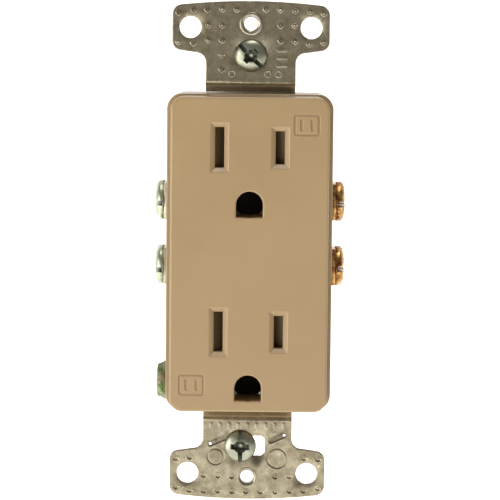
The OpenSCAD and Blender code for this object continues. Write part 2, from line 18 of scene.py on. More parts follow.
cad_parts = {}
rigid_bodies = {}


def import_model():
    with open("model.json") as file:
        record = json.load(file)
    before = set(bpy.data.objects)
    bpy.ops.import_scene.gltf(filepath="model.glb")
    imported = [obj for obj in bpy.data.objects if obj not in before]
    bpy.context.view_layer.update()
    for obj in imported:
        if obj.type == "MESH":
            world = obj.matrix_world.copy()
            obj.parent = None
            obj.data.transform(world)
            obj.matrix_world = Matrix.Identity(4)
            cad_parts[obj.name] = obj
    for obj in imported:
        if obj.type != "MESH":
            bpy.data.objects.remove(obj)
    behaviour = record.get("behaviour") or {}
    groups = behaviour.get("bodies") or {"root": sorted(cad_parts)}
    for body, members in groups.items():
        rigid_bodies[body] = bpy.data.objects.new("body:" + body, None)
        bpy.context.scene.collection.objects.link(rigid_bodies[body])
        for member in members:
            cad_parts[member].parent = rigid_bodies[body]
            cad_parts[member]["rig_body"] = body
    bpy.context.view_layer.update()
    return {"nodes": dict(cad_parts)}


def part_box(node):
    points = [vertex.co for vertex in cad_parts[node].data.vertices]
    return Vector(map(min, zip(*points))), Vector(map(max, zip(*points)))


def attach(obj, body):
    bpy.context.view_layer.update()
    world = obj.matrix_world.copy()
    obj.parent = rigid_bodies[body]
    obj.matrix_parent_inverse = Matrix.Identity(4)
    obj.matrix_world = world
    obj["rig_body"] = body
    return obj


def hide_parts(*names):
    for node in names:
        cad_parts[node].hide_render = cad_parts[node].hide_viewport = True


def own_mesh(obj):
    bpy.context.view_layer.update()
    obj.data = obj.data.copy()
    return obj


MM = 0.001

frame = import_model()
NODES = frame["nodes"]
scene = bpy.context.scene


# ---- camera, light and floor ----

CAMERA_DISTANCE = 0.52
CAMERA_ELEVATION = math.radians(5.8)
CAMERA_ROLL = math.radians(0.55)
FOCAL_PX = 2441.0
IMAGE_PX = 500
AIM_PX = (1.0, 1.9)
SENSOR_MM = 36
WORLD_STRENGTH = 0.22
FLOOR_Z = -0.25
FLOOR_FRONT_Y = -2.2
FLOOR_HALF_X = 8.0
WALL_Y = 1.8
WALL_TOP_Z = 4.5
BEND_R = 0.7
BEND_STEPS = 16
GLOW = {"From Min": -1.6, "From Max": -1.0, "To Min": 0.0, "To Max": 0.95}


def make_camera():
    data = bpy.data.cameras.new("camera")
    data.sensor_width = SENSOR_MM
    data.lens = SENSOR_MM * FOCAL_PX / IMAGE_PX
    data.clip_start = 0.01
    data.clip_end = 100
    cam = bpy.data.objects.new("camera", data)
    scene.collection.objects.link(cam)
    forward = Vector((0, math.cos(CAMERA_ELEVATION), -math.sin(CAMERA_ELEVATION)))
    up = Vector((0, math.sin(CAMERA_ELEVATION), math.cos(CAMERA_ELEVATION)))
    right = Vector((1, 0, 0))
    aim = (right * AIM_PX[0] + up * AIM_PX[1]) * CAMERA_DISTANCE / FOCAL_PX
    place = aim - forward * CAMERA_DISTANCE
    turned_right = right * math.cos(CAMERA_ROLL) + up * math.sin(CAMERA_ROLL)
    turned_up = up * math.cos(CAMERA_ROLL) - right * math.sin(CAMERA_ROLL)
    columns = (turned_right, turned_up, -forward, place)
    rows = [[column[i] for column in columns] for i in range(3)]
    cam.matrix_world = Matrix((*rows, (0, 0, 0, 1)))
    scene.camera = cam


def area_light(name, place, target, size, power):
    data = bpy.data.lights.new(name, "AREA")
    data.shape = "RECTANGLE"
    data.size, data.size_y = size
    data.energy = power
    light = bpy.data.objects.new(name, data)
    light.location = place
    light.rotation_mode = "QUATERNION"
    light.rotation_quaternion = (Vector(target) - Vector(place)).to_track_quat("-Z", "Y")
    scene.collection.objects.link(light)


def make_light():
    scene.view_settings.view_transform = "Standard"
    world = bpy.data.worlds.new("studio")
    scene.world = world
    world.use_nodes = True
    background = world.node_tree.nodes["Background"]
    background.inputs["Color"].default_value = (1, 1, 1, 1)
    background.inputs["Strength"].default_value = WORLD_STRENGTH
    area_light("left_softbox", (-0.9, -0.6, -0.05), (0, 0, 0), (0.5, 0.8), 8.7)
    area_light("low_front_fill", (0.0, -0.7, -0.28), (0, 0, -0.03), (0.6, 0.1), 1.7)
    area_light("left_front_fill", (-0.34, -0.72, -0.02), (0, 0, 0), (0.08, 0.08), 0.5)
    area_light("top_softbox", (0.1, -0.1, 0.9), (0, 0, 0), (0.6, 0.4), 4.4)


def make_floor():
    """A white sweep: a floor below the object that curves up into a wall behind it.

    It glows, except near its front edge, so that it stays white behind the object.
    """
    profile = [(FLOOR_FRONT_Y, FLOOR_Z), (0.0, FLOOR_Z), (WALL_Y - BEND_R, FLOOR_Z)]
    for step in range(1, BEND_STEPS + 1):
        angle = step / BEND_STEPS * math.pi / 2
        across = WALL_Y - BEND_R + BEND_R * math.sin(angle)
        profile.append((across, FLOOR_Z + BEND_R * (1 - math.cos(angle))))
    profile.append((WALL_Y, WALL_TOP_Z))
    vertices = [(side * FLOOR_HALF_X, y, z) for y, z in profile for side in (-1, 1)]
    faces = [(2 * i, 2 * i + 1, 2 * i + 3, 2 * i + 2) for i in range(len(profile) - 1)]
    mesh = bpy.data.meshes.new("floor")
    mesh.from_pydata(vertices, [], faces)
    shade_smooth(mesh)
    floor = link_mesh("floor", mesh)
    n = Nodes("floor_white")
    parts = n.add("ShaderNodeSeparateXYZ", {"Vector": n.coordinates})
    glow = n.add("ShaderNodeMapRange", {"Value": parts.outputs["Y"], **GLOW}).outputs["Result"]
    n.set(Base_Color=(0.9, 0.9, 0.9), Roughness=0.9, Emission_Color=(1, 1, 1), Emission_Strength=glow)
    mesh.materials.append(n.material)


# ---- mesh helpers ----


def link_mesh(name, mesh):
    piece = bpy.data.objects.new(name, mesh)
    scene.collection.objects.link(piece)
    return piece


def shade_smooth(mesh):
    for polygon in mesh.polygons:
        polygon.use_smooth = True


def mesh_from(name, vertices, faces):
    """A new mesh object from points in millimetres."""
    mesh = bpy.data.meshes.new(name)
    mesh.from_pydata([tuple(c * MM for c in v) for v in vertices], [], faces)
    mesh.validate()
    mesh.update()
    return link_mesh(name, mesh)


@contextmanager
def editing(mesh):
    """A bmesh of a mesh, to be changed; the mesh takes the changes at the end."""
    work = bmesh.new()
    work.from_mesh(mesh)
    yield work
    work.to_mesh(mesh)
    work.free()
    mesh.update()


def clean(mesh, flat_angle=0.6):
    """Merges doubled points and joins the triangles of each flat face."""
    flat = math.radians(flat_angle)
    with editing(mesh) as work:
        bmesh.ops.remove_doubles(work, verts=work.verts, dist=2e-6)
        bmesh.ops.dissolve_limit(work, angle_limit=flat, verts=work.verts, edges=work.edges)
        bmesh.ops.recalc_face_normals(work, faces=work.faces)


def face_outward(mesh, weld=0.0):
    """Welds points closer than weld metres, deletes points without a face, and turns the normals outward."""
    with editing(mesh) as work:
        if weld:
            bmesh.ops.remove_doubles(work, verts=work.verts, dist=weld)
        loose = [vertex for vertex in work.verts if not vertex.link_faces]
        bmesh.ops.delete(work, geom=loose, context="VERTS")
        bmesh.ops.recalc_face_normals(work, faces=work.faces)


def merged(name, meshes):
    """A new piece with the shapes of several meshes, without their own normals."""
    work = bmesh.new()
    for mesh in meshes:
        work.from_mesh(mesh)
    mesh = bpy.data.meshes.new(name)
    work.to_mesh(mesh)
    work.free()
    return link_mesh(name, mesh)


def join(name, pieces):
    """One new piece in place of several."""
    joined = merged(name, [piece.data for piece in pieces])
    for piece in pieces:
        bpy.data.objects.remove(piece)
    return joined


def copy_of(node, name):
    """A new piece with the shape of a CAD node."""
    piece = merged(name, [NODES[node].data])
    clean(piece.data)
    return piece


def apply_modifiers(piece):
    depsgraph = bpy.context.evaluated_depsgraph_get()
    mesh = bpy.data.meshes.new_from_object(piece.evaluated_get(depsgraph))
    piece.modifiers.clear()
    piece.data = mesh


def boolean(piece, cutter, operation):
    modifier = piece.modifiers.new("cut", "BOOLEAN")
    modifier.operation = operation
    modifier.solver = "EXACT"
    modifier.object = cutter
    apply_modifiers(piece)
    bpy.data.objects.remove(cutter)


def soften(piece, width, segments=2, angle=30, weighted=True):
    """Rounds the sharp edges of a piece and shades it smoothly."""
    shade_smooth(piece.data)
    if width:
        bevel = piece.modifiers.new("bevel", "BEVEL")
        bevel.width = width * MM
        bevel.segments = segments
        bevel.limit_method = "ANGLE"
        bevel.angle_limit = math.radians(angle)
        bevel.use_clamp_overlap = True
    if weighted:
        normals = piece.modifiers.new("normals", "WEIGHTED_NORMAL")
        normals.keep_sharp = True


def mark_depth(piece, depth_of):
    """Stores how deep each point lies in a hollow, from -1 (proud) to 1, for painted shade and painted
    light.
    """
    depths = piece.data.attributes.new("depth", "FLOAT", "POINT")
    depths.data.foreach_set("value", [float(depth_of(*(v.co / MM))) for v in piece.data.vertices])


def mark_sharp(piece, angle):
    shade_smooth(piece.data)
    piece.data.set_sharp_from_angle(angle=math.radians(angle))


def rounded_rectangle(half_w, half_h, radius, steps):
    """Points of a rounded rectangle in X and Z, in order."""
    points = []
    for quarter, (i, j) in enumerate(((1, 1), (-1, 1), (-1, -1), (1, -1))):
        for step in range(steps + 1):
            angle = (quarter + step / steps) * math.pi / 2
            x = i * (half_w - radius) + radius * math.cos(angle)
            z = j * (half_h - radius) + radius * math.sin(angle)
            points.append((x, z))
    return points


def arc(centre, radius, start, end, steps):
    """Points on an arc, angles in degrees."""
    points = []
    for step in range(steps + 1):
        angle = math.radians(start + (end - start) * step / steps)
        points.append((centre[0] + radius * math.cos(angle), centre[1] + radius * math.sin(angle)))
    return points


def circle(centre, radius, count):
    return arc(centre, radius, 0, 360, count)[:-1]


def offset_loop(points, amount):
    """A closed loop that turns anticlockwise, grown outward by amount."""
    grown = []
    count = len(points)
    for i in range(count):
        before, here, after = (Vector(points[(i + step) % count]) for step in (-1, 0, 1))
        first = (here - before).normalized()
        second = (after - here).normalized()
        normal = (first + second).normalized()
        normal = Vector((normal.y, -normal.x))
        stretch = 1 / max(0.5, math.sqrt(max(0.0, (1 + first.dot(second)) / 2)))
        grown.append(tuple(here + normal * amount * stretch))
    return grown


def inside(points, loop):
    """For each point, whether it is inside a closed loop."""
    points = np.asarray(points, float)
    loop = np.asarray(loop, float)
    result = np.zeros(len(points), bool)
    for i in range(len(loop)):
        x0, z0 = loop[i - 1]
        x1, z1 = loop[i]
        if z0 == z1:
            continue
        crosses = (z0 > points[:, 1]) != (z1 > points[:, 1])
        at = (x1 - x0) * (points[:, 1] - z0) / (z1 - z0) + x0
        result ^= crosses & (points[:, 0] < at)
    return result


class Surface:
    """One side of a flat sheet, as loops of points that each have a level along Y."""

    def __init__(self):
        self.points = []
        self.levels = []
        self.edges = []

    def loop(self, points, level):
        """Adds a closed loop; level is one number, or a list with one for each point."""
        base = len(self.points)
        self.points += [tuple(p) for p in points]
        self.levels += level if isinstance(level, list) else [level] * len(points)
        self.edges += [(base + i, base + (i + 1) % len(points)) for i in range(len(points))]
        return list(range(base, base + len(points)))

    def triangulate(self, outer, holes):
        """Vertices with their levels, the triangles between the loops, and where each point went."""
        points = [Vector(p) for p in self.points]
        made = delaunay_2d_cdt(points, self.edges, [], 0, 1e-7, True)
        vertices, triangles, origins = made[0], made[2], made[3]
        where = {}
        levels = []
        for index, origin in enumerate(origins):
            levels.append(self.levels[origin[0]] if origin else 0.0)
            for old in origin:
                where[old] = index
        middles = [sum((vertices[i] for i in t), Vector((0, 0))) / 3 for t in triangles]
        keep = inside(middles, [self.points[i] for i in outer])
        for hole in holes:
            keep &= ~inside(middles, [self.points[i] for i in hole])
        kept = [t for t, good in zip(triangles, keep) if good]
        return vertices, levels, kept, where


def wall_faces(rows):
    """Quads between each closed row of point numbers and the next."""
    faces = []
    for upper, lower in zip(rows, rows[1:]):
        for i in range(len(upper)):
            j = (i + 1) % len(upper)
            faces.append((upper[i], upper[j], lower[j], lower[i]))
    return faces


def tube_faces(rows, count):
    """The faces of a closed tube whose points lie in rows of count points."""
    rings = [range(row * count, (row + 1) * count) for row in range(rows)]
    return [*wall_faces(rings), tuple(reversed(rings[0])), tuple(rings[-1])]


def prism(name, points, low, high):
    """A straight prism along Z."""
    vertices = [(x, y, z) for z in (low, high) for x, y in points]
    return mesh_from(name, vertices, tube_faces(2, len(points)))


def fillet(y, radius, steps):
    """Pairs (inset, y) that round the edge at the level y, going back into the part."""
    pairs = []
    for step in range(steps + 1):
        angle = step / steps * math.pi / 2
        pairs.append((radius * (1 - math.sin(angle)), y + radius * (1 - math.cos(angle))))
    return pairs


# ---- materials ----


class Nodes:
    """A short way to write a material's nodes."""

    def __init__(self, name):
        self.material = bpy.data.materials.new(name)
        self.material.use_nodes = True
        self.tree = self.material.node_tree
        self.shader = self.tree.nodes["Principled BSDF"]
        self.coordinates = self.add("ShaderNodeTexCoord").outputs["Object"]

    def add(self, kind, inputs=None, **settings):
        node = self.tree.nodes.new(kind)
        for key, value in settings.items():
            setattr(node, key, value)
        for key, value in (inputs or {}).items():
            self.feed(node.inputs[key], value)
        return node

    def feed(self, socket, value):
        if isinstance(value, bpy.types.NodeSocket):
            self.tree.links.new(value, socket)
        else:
            socket.default_value = value

    def noise(self, scale, detail=4.0, roughness=0.55, distortion=0.0):
        """Noise whose scale is in cycles a millimetre, one number or one each along X, Y and Z."""
        scales = scale if isinstance(scale, tuple) else (scale, scale, scale)
        inputs = {"Vector": self.coordinates, "Scale": [s / MM for s in scales]}
        scaled = self.add("ShaderNodeMapping", inputs).outputs["Vector"]
        inputs = {"Vector": scaled, "Scale": 1.0, "Detail": detail, "Roughness": roughness}
        return self.add("ShaderNodeTexNoise", {**inputs, "Distortion": distortion}).outputs["Fac"]

    def ramp(self, value, stops):
        """A colour ramp from (place, colour or grey) pairs."""
        node = self.add("ShaderNodeValToRGB", {"Fac": value})
        elements = node.color_ramp.elements
        while len(elements) < len(stops):
            elements.new(0.5)
        for element, (place, colour) in zip(elements, stops):
            element.position = place
            if not isinstance(colour, tuple):
                colour = (colour, colour, colour)
            element.color = (*colour[:3], 1)
        return node.outputs["Color"]

    def mix(self, factor, first, second):
        node = self.add("ShaderNodeMix", {"Factor": factor}, data_type="RGBA")
        for key, value in (("A", first), ("B", second)):
            socket = next(s for s in node.inputs if s.name == key and s.type == "RGBA")
            if isinstance(value, tuple):
                value = (*value[:3], 1)
            self.feed(socket, value)
        return next(s for s in node.outputs if s.type == "RGBA")

    def math(self, operation, first, second=0.0, clamp=False):
        node = self.add("ShaderNodeMath", {0: first, 1: second}, operation=operation, use_clamp=clamp)
        return node.outputs["Value"]

    def bump(self, height, strength, distance, normal=None):
        """A bump whose distance is in millimetres."""
        inputs = {"Height": height, "Strength": strength, "Distance": distance * MM}
        if normal is not None:
            inputs["Normal"] = normal
        return self.add("ShaderNodeBump", inputs).outputs["Normal"]

    def depth(self):
        """The value that mark_depth stored; 0 on pieces without it."""
        return self.add("ShaderNodeAttribute", attribute_name="depth").outputs["Fac"]

    def set(self, **values):
        """Feeds the shader's sockets, named with _ for a space, and returns the material."""
        for key, value in values.items():
            if isinstance(value, tuple):
                value = (*value[:3], 1)
            self.feed(self.shader.inputs[key.replace("_", " ")], value)
        return self.material


def srgb(red, green, blue):
    """Linear colour from the usual 0 to 255 values."""
    out = []
    for c in (red, green, blue):
        c = c / 255
        out.append(c / 12.92 if c <= 0.04045 else ((c + 0.055) / 1.055) ** 2.4)
    return tuple(out)


# The colour of painted light, on raised metal and on the strap's bends that lie in shade.
PAINTED_LIGHT_METAL = (0.85, 0.82, 0.74)


def plastic(name, light, dark, roughness, grain):
    """A moulded plastic with faint clouds, specks, a fine grain and slight waviness."""
    n = Nodes(name)
    cloud = n.noise(0.06, 3.0)
    speck = n.noise(2.4, 3.0)
    colour = n.ramp(cloud, [(0.3, dark), (0.7, light)])
    colour = n.mix(n.ramp(speck, [(0.35, 0.0), (0.75, 0.35)]), colour, dark)
    rough = n.ramp(n.noise(0.5, 5.0), [(0.3, roughness - 0.06), (0.7, roughness + 0.07)])
    fine = n.bump(n.noise(9, 2.0), 0.16, grain)
    wavy = n.bump(n.noise(0.22, 2.0), 0.12, 0.05, fine)
    return n.set(Base_Color=colour, Roughness=rough, Normal=wavy)


def metal(name, light, dark, roughness, stain=None, metallic=1.0, grime_and_shade=None, dark_spot=None):
    """A plated or bare metal: mottling, fine scratches, stains, painted shade in its hollows, one dark spot.

    The dark spot is (centre, radius) in millimetres. The colour of the hollows' painted shade also lays a
    thin dirt film where a screw head asks for one. Where the metal stands proud, it gets painted light.
    """
    n = Nodes(name)
    mottle = n.noise(0.55, 6.0, 0.65)
    scratch = n.noise((0.4, 4.0, 0.4), 5.0, 0.7)
    colour = n.ramp(mottle, [(0.34, dark), (0.66, light)])
    if stain:
        blotch = n.noise(0.9, 6.0, 0.7, 0.6)
        colour = n.mix(n.ramp(blotch, [(0.46, 0.0), (0.57, 0.85)]), colour, stain)
    if grime_and_shade:
        # Painted shade: the colour darkens where the depth value marks a hollow; a head's thin dirt film
        # uses it too.
        depth = n.depth()
        colour = n.mix(n.ramp(depth, [(0.02, 0.0), (0.75, 0.95)]), colour, grime_and_shade)
        # Painted light: the colour lightens where the depth value is below 0.
        proud = n.ramp(n.math("MULTIPLY", depth, -1.0), [(0.05, 0.0), (0.4, 0.12), (1.0, 0.75)])
        colour = n.mix(proud, colour, PAINTED_LIGHT_METAL)
    # One soft dark spot with a mottled edge, in the same dark colour as the hollows.
    if dark_spot:
        ends = {0: n.coordinates, 1: [c * MM for c in dark_spot[0]]}
        near = n.add("ShaderNodeVectorMath", ends, operation="DISTANCE")
        share = n.math("DIVIDE", near.outputs["Value"], dark_spot[1] * MM, True)
        share = n.math("ADD", share, n.math("MULTIPLY", mottle, 0.5))
        colour = n.mix(n.ramp(share, [(0.45, 0.75), (1.0, 0.0)]), colour, grime_and_shade)
    rough = n.mix(0.5, n.ramp(mottle, [(0.3, roughness + 0.1), (0.7, roughness - 0.06)]),
                  n.ramp(scratch, [(0.3, roughness - 0.08), (0.7, roughness + 0.1)]))
    low = n.bump(scratch, 0.25, 0.02)
    pits = n.bump(n.noise(2.2, 5.0, 0.6), 0.22, 0.05, low)
    return n.set(Base_Color=colour, Metallic=metallic, Roughness=rough, Normal=pits)


def make_materials():
    """One material for each material slot of the record."""
    # The last dark colour of a metal is painted shade in its hollows; on the mounting screws' heads it also
    # lays a thin film of dirt, and on the strap it colours one dark spot.
    return {
        "face_plastic": plastic("tan_face", srgb(157, 132, 93), srgb(152, 126, 88), 0.34, 0.01),
        "body_plastic": plastic("brown_nylon", srgb(112, 82, 60), srgb(94, 67, 49), 0.42, 0.02),
        "shutter_plastic": plastic("shutter_plastic", srgb(104, 84, 56), srgb(90, 70, 44), 0.45, 0.012),
        "galvanised_steel": metal(
            "zinc_strap", srgb(160, 150, 126), srgb(122, 112, 89), 0.29,
            metallic=0.86, grime_and_shade=srgb(52, 44, 30), dark_spot=((2.2, -1.2, -44.9), 2.4),
        ),
        "plated_steel": metal(
            "nickel_plate", srgb(204, 204, 180), srgb(168, 168, 144), 0.36, grime_and_shade=srgb(34, 38, 30),
        ),
        "spring_steel": metal("spring_steel", srgb(190, 188, 180), srgb(150, 148, 140), 0.3),
        "green_steel": metal(
            "green_steel", srgb(122, 143, 86), srgb(60, 80, 38), 0.4,
            stain=srgb(160, 140, 120), grime_and_shade=srgb(20, 28, 14),
        ),
        "contact_brass": metal("contact_brass", srgb(214, 178, 108), srgb(184, 146, 82), 0.3),
        "screw_brass": metal(
            "screw_brass", srgb(212, 176, 114), srgb(158, 114, 62), 0.3,
            stain=srgb(118, 64, 36), grime_and_shade=srgb(58, 34, 18),
        ),
        "spring_bronze": metal("spring_bronze", srgb(206, 156, 104), srgb(172, 120, 74), 0.3),
        "fibre": plastic("fibre", srgb(96, 80, 60), srgb(74, 60, 44), 0.8, 0.05),
    }


def close_slivers(mesh):
    """Splits many-sided faces and removes faces that have no area."""
    with editing(mesh) as work:
        bmesh.ops.remove_doubles(work, verts=work.verts, dist=4e-7)
        many_sided = [face for face in work.faces if len(face.verts) > 4]
        bmesh.ops.triangulate(work, faces=many_sided, ngon_method="BEAUTY")
        bmesh.ops.dissolve_degenerate(work, edges=work.edges, dist=4e-7)


def finish_piece(piece, node, body=None):
    """Gives a new piece the material and body of the CAD node that it stands for, or the body given, and
    hides that node.
    """
    slot_name = SLOT_OF[node]
    close_slivers(piece.data)
    piece.data.materials.clear()
    piece.data.materials.append(MATERIALS[slot_name])
    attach(piece, body or NODES[node]["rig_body"])
    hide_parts(node)


MATERIALS = make_materials()
SLOT_OF = {}
for node_name, cad in NODES.items():
    slots = cad.material_slots
    wanted = slots[0].material.name.split(".")[0] if slots and slots[0].material else "body_plastic"
    SLOT_OF[node_name] = wanted
    cad.data.materials.clear()
    cad.data.materials.append(MATERIALS[wanted])


# ---- the moulded housing ----

FACE_HALF = (16.65, 33.25)
FACE_R = 2.8
FACE_Y = -7.8
SHOULDER_HALF = (17.6, 33.7)
SHOULDER_R = 3.3
SHOULDER_Y = -2.2
PART_Y = 3.0
OUTLETS = (22.65, -16.25)
BLADE_X = 6.35
SLOT_HALF_W = 0.95
HOT_HALF_H = 3.45
NEUTRAL_HALF_H = 4.25
GROUND_DROP = 12.0
GROUND_R = 2.8
GROUND_FLOOR = 0.15
MARK_X = 11.9
MARK_Z = 27.5
LEAD_IN = 0.95
LEAD_IN_DEPTH = 0.8
RING_STEPS = 14
SPARE = 0.01
FACE_FLAT = FACE_Y + SPARE


def outline_ring(half, radius, inset, y):
    points = rounded_rectangle(half[0] - inset, half[1] - inset, radius - inset, RING_STEPS)
    return [(x, y, z) for x, z in points]


def slot_rectangle(x, z, half_h, grow):
    corner = min(0.12, 0.05 + max(0.0, grow) * 0.1)
    points = rounded_rectangle(SLOT_HALF_W + grow, half_h + grow, corner, 3)
    return [(x + u, z + v) for u, v in points]


def ground_loop(z, grow):
    """The arched outline of a ground hole."""
    radius = GROUND_R + grow
    floor = -GROUND_R + GROUND_FLOOR - grow
    corner = 0.3
    points = arc((0, 0), radius, 0, 180, 24)
    points += arc((-radius + corner, floor + corner), corner, 180, 270, 4)
    points += arc((radius - corner, floor + corner), corner, 270, 360, 4)
    return [(x, z + v) for x, v in points]


def mark_loops(turn):
    """A plain engraved frame with two bars, in place of the letters on the real face."""
    loops = []
    frame_steps = ((0.1, 0), (0, 0.03), (-0.08, 0.2), (-0.4, 0.2), (-0.48, 0.03), (-0.58, 0))
    bar_steps = ((0.14, 0), (0.06, 0.03), (0, 0.2), (-0.15, 0.2))
    shapes = [(0, 0, 2.75, 2.3, 0.7, frame_steps)]
    for x in (-1.1, 1.1):
        shapes.append((x, 0, 0.25, 1.15, 0.2, bar_steps))
    for x, z, half_w, half_h, radius, steps in shapes:
        for grow, depth in steps:
            corner = max(0.05, radius + grow)
            corner = min(corner, half_w + grow - 0.01)
            points = rounded_rectangle(half_w + grow, half_h + grow, corner, 4)
            points = [(turn * (MARK_X + x + u), turn * (MARK_Z + z + v)) for u, v in points]
            loops.append((points, FACE_FLAT + depth))
    return loops


def face_relief():
    """The lead-ins of the slots, the rims of the ground holes and the marks, as loops with levels."""
    loops = []
    rim = ((0.24, 0), (0.12, 0), (0.02, 0.03), (-0.12, 0.13))
    mouth = ((0.12, -0.09), (0.04, 0.02), (-0.03, 0.14), (-0.3, 0.5))
    slot_steps = [(LEAD_IN + grow, level) for grow, level in rim]
    slot_steps += [(grow, LEAD_IN_DEPTH + level) for grow, level in mouth]
    hole_steps = ((0.52, 0), (0.38, 0), (0.24, 0.02), (0.12, 0.09), (0.04, 0.2), (-0.02, 0.36), (-0.4, 0.8))
    for outlet in OUTLETS:
        for x, half_h in ((BLADE_X, HOT_HALF_H), (-BLADE_X, NEUTRAL_HALF_H)):
            for grow, level in slot_steps:
                loops.append((slot_rectangle(x, outlet, half_h, grow), FACE_FLAT + level))
        for grow, level in hole_steps:
            loops.append((ground_loop(outlet - GROUND_DROP, grow), FACE_FLAT + level))
    return loops + mark_loops(1) + mark_loops(-1)


def cover_envelope():
    """The cover's outside with its moulded radii: a hair larger than the CAD at the sides, and a hair
    behind its front face, so that the whole front comes from here."""
    rings = []
    for inset, y in fillet(FACE_FLAT, 0.5, 6):
        rings.append((FACE_HALF, FACE_R, inset - SPARE, y))
    rings.append((FACE_HALF, FACE_R, -SPARE, SHOULDER_Y - SPARE))
    for inset, y in fillet(SHOULDER_Y - SPARE, 0.3, 4):
        rings.append((SHOULDER_HALF, SHOULDER_R, inset - SPARE, y))
    rings.append((SHOULDER_HALF, SHOULDER_R, -SPARE, PART_Y - 0.25))
    rings.append((SHOULDER_HALF, SHOULDER_R, 0.2, PART_Y + SPARE))
    surface = Surface()
    front = outline_ring(*rings[0])
    outer = surface.loop([(x, z) for x, y, z in front], FACE_FLAT)
    guard = outline_ring(FACE_HALF, FACE_R, 0.7, FACE_FLAT)
    surface.loop([(x, z) for x, y, z in guard], FACE_FLAT)
    for points, level in face_relief():
        surface.loop(points, level)
    flat, levels, triangles, where = surface.triangulate(outer, [])
    vertices = [(v.x, level, v.y) for v, level in zip(flat, levels)]
    faces = [tuple(t) for t in triangles]
    rows = [[where[i] for i in outer]]
    for ring in rings[1:]:
        rows.append(list(range(len(vertices), len(vertices) + len(front))))
        vertices += outline_ring(*ring)
    faces += wall_faces(rows)
    faces.append(tuple(rows[-1]))
    envelope = mesh_from("cover_envelope", vertices, faces)
    face_outward(envelope.data, 1e-7)
    return envelope


def keep_face_flat(cover):
    """Stops the slopes of the slots, holes and marks from shading into the flat face around them."""
    rim = 1.1
    limits = ((FACE_HALF[0] - rim) * MM, (FACE_HALF[1] - rim) * MM)
    with editing(cover.data) as work:
        for edge in work.edges:
            if any(abs(v.co.x) > limits[0] or abs(v.co.z) > limits[1] for v in edge.verts):
                continue
            if len({face.normal.y < -0.9999 for face in edge.link_faces}) == 2:
                edge.smooth = False


def make_cover():
    cover = copy_of("front_cover", "moulded_cover")
    boolean(cover, cover_envelope(), "INTERSECT")
    mark_sharp(cover, 38)
    keep_face_flat(cover)
    soften(cover, 0)
    finish_piece(cover, "front_cover")


def make_body():
    body = copy_of("back_body", "moulded_body")
    soften(body, 0.22, 3, 35)
    finish_piece(body, "back_body")


# ---- the stamped strap ----

STRAP_FRONT = -1.2
SEAM = 36.2
EDGE = 0.12
NECK_HALF = 9.5
EAR_HALF = 16.6
EAR_BOTTOM = 42.3
EAR_RISE = 0.7
NECK_FILLET = 2.1
EAR_LOW_R = 1.9
EAR_TOP_R = 2.2
CROWN_R = 132.0
STRAP_HALF = 53.2
BEND_Z = 35.4
BEND_OUTER_R = 0.75
COVER_HOLE = (0, 48.4)
EAR_HOLE_X = 12.75
EAR_HOLE_Z = 47.6
EAR_HOLE_R = 2.3
SLOT_MID = 41.65
SLOT_CUT = 0.7
SLOT_HALF_H = 2.2
UPPER_SLOT_HALF_W = 3.2
LOWER_SLOT_HALF_W = 3.75
COVER_HOLE_R = 1.45
WINDOW_X = 6.45
WINDOW_Z = 40.4
WINDOW_LENGTH = 3.2
WINDOW_HALF_W = 0.42
WINDOW_ANGLE = -23
MARK_PITCH = 3.07
MARK_LIMIT_X = 15.3
BROKEN_EDGE = ((EDGE, STRAP_FRONT), (0.3 * EDGE, STRAP_FRONT + 0.3 * EDGE), (0, STRAP_FRONT + EDGE),
               (0, -EDGE), (0.3 * EDGE, -0.3 * EDGE), (EDGE, 0))


def ear_outline():
    """The outline of one end of the strap beyond the seam, as X and distance from the middle."""
    ear_in = NECK_HALF + NECK_FILLET
    slope = math.degrees(math.atan(EAR_RISE / (EAR_HALF - ear_in)))
    tangent = math.tan(math.radians(slope))
    low_x = EAR_HALF - EAR_LOW_R
    low_z = EAR_BOTTOM + (low_x - ear_in) * tangent + EAR_LOW_R / math.cos(math.radians(slope))
    crown_z = STRAP_HALF - CROWN_R
    top_x = EAR_HALF - EAR_TOP_R
    top_z = crown_z + math.sqrt((CROWN_R - EAR_TOP_R) ** 2 - top_x ** 2)
    crown_angle = math.degrees(math.atan2(top_z - crown_z, top_x))
    right = [(NECK_HALF, SEAM)]
    right += arc((ear_in, EAR_BOTTOM - NECK_FILLET), NECK_FILLET, 180, 90, 8)
    right += arc((low_x, low_z), EAR_LOW_R, -90 + slope, 0, 8)
    right += arc((top_x, top_z), EAR_TOP_R, 0, crown_angle, 8)
    right += arc((0, crown_z), CROWN_R, crown_angle, 90, 10)[1:]
    return right + [(-x, z) for x, z in reversed(right[:-1])]


def sheet_end(name, sign, outline, holes, front_relief, back_relief):
    """One end of the strap: two relief surfaces joined by rounded walls along the outline and the holes."""

    def outline_at(grow):
        return [(x, SEAM if abs(z - SEAM) < 0.3 else z) for x, z in offset_loop(outline, grow)]

    walls = [[(outline_at(-grow), y) for grow, y in BROKEN_EDGE]]
    for make_loop, wall in holes:
        walls.append([(make_loop(grow), y) for grow, y in wall])
    vertices = []
    faces = []
    ends = []
    for side, relief in ((0, front_relief), (-1, back_relief)):
        surface = Surface()
        loops = [surface.loop(*wall[side]) for wall in walls]
        surface.loop(offset_loop(outline, -2 * EDGE), walls[0][side][1])
        for points, level in relief:
            surface.loop(points, level)
        flat, levels, triangles, where = surface.triangulate(loops[0], loops[1:])
        base = len(vertices)
        vertices += [(v.x, level, sign * v.y) for v, level in zip(flat, levels)]
        faces += [tuple(base + i for i in t) for t in triangles]
        ends.append([[base + where[i] for i in loop] for loop in loops])
    for number, wall in enumerate(walls):
        rows = [ends[0][number]]
        for points, y in wall[1:-1]:
            rows.append(list(range(len(vertices), len(vertices) + len(points))))
            vertices += [(x, y, sign * z) for x, z in points]
        rows.append(ends[1][number])
        faces += wall_faces(rows)
    piece = mesh_from(name, vertices, faces)
    face_outward(piece.data)
    return piece


